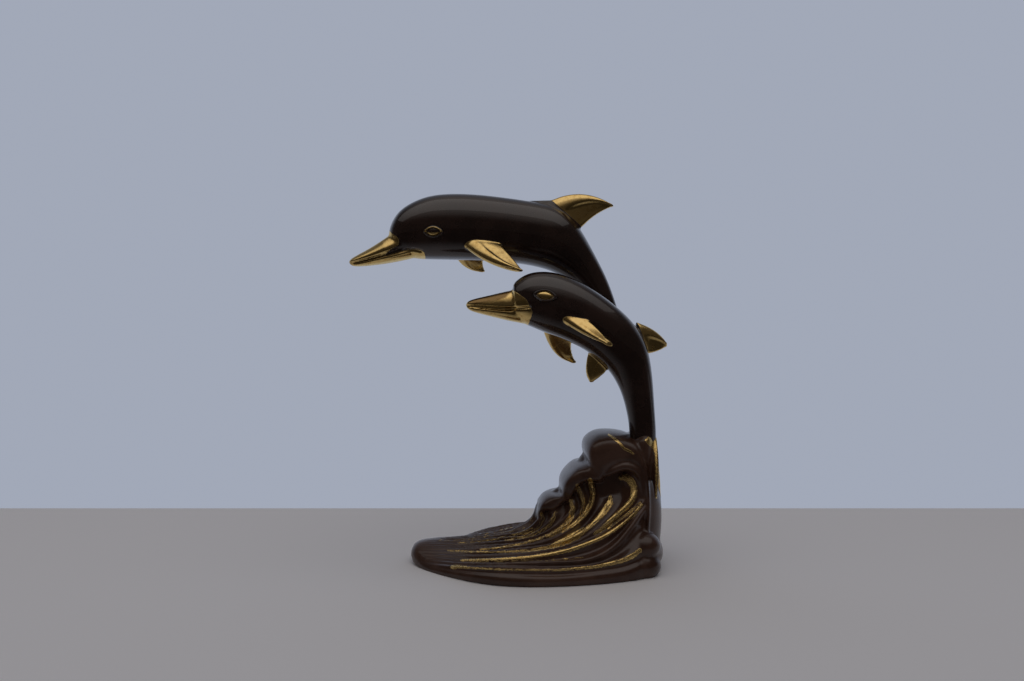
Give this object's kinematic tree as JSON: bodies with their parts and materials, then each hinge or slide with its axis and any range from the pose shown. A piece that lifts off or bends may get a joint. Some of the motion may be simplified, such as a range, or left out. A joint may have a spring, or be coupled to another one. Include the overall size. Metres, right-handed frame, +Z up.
{
  "type": "dolphin figurine",
  "caption": "Metal figurine of dolphins leaping side by side from a fluted breaking wave, in dark brown gloss with bright brass fins, beaks and ridges.",
  "frame": {"origin": "under the middle of the figure's bounding box, on the surface it stands on", "axes": "+Z up; -X the way the dolphins leap; -Y the side of the small dolphin"},
  "size_m": [0.183, 0.0966, 0.2117],
  "materials": {
    "bronzed_brass": "gloss dark brown enamel over brass, with bare bright brass on fins, beaks, eyes and ridge tops"
  },
  "bodies": {
    "root": {"dolphin_figurine": "bronzed_brass"}
  },
  "joints": []
}
